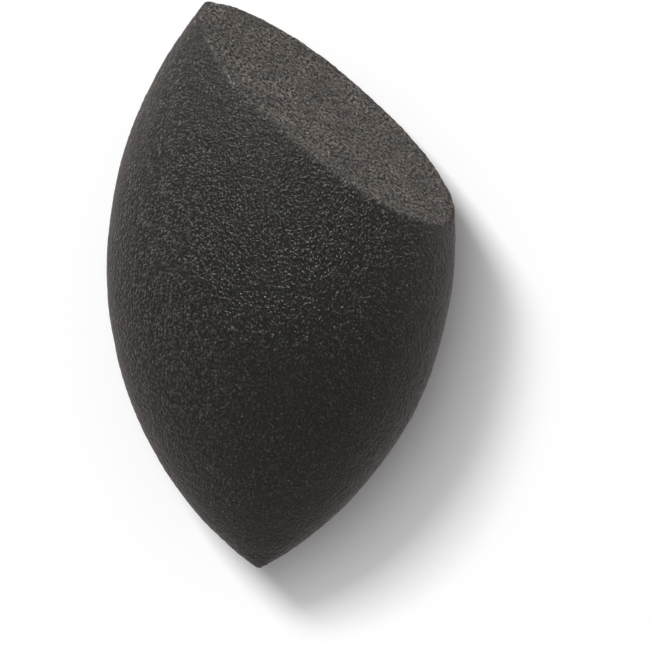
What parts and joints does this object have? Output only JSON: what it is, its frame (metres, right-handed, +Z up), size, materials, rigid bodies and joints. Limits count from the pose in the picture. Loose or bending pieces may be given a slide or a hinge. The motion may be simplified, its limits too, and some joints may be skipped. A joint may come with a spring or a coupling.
{
  "type": "makeup sponge",
  "caption": "Charcoal foam makeup sponge: a round spindle with a pointed tip and a slanted flat face, lying on its side, for blending make-up on skin.",
  "frame": {"origin": "middle of the patch under the belly on which the sponge lies", "axes": "+Y from the pointed tip to the slanted end along the floor, +Z up from the floor, +X towards the side that the flat face looks to"},
  "size_m": [0.04, 0.0648, 0.0399],
  "materials": {
    "foam": "matte fine-celled foam"
  },
  "bodies": {
    "root": {"foam_body": "foam"}
  },
  "joints": []
}
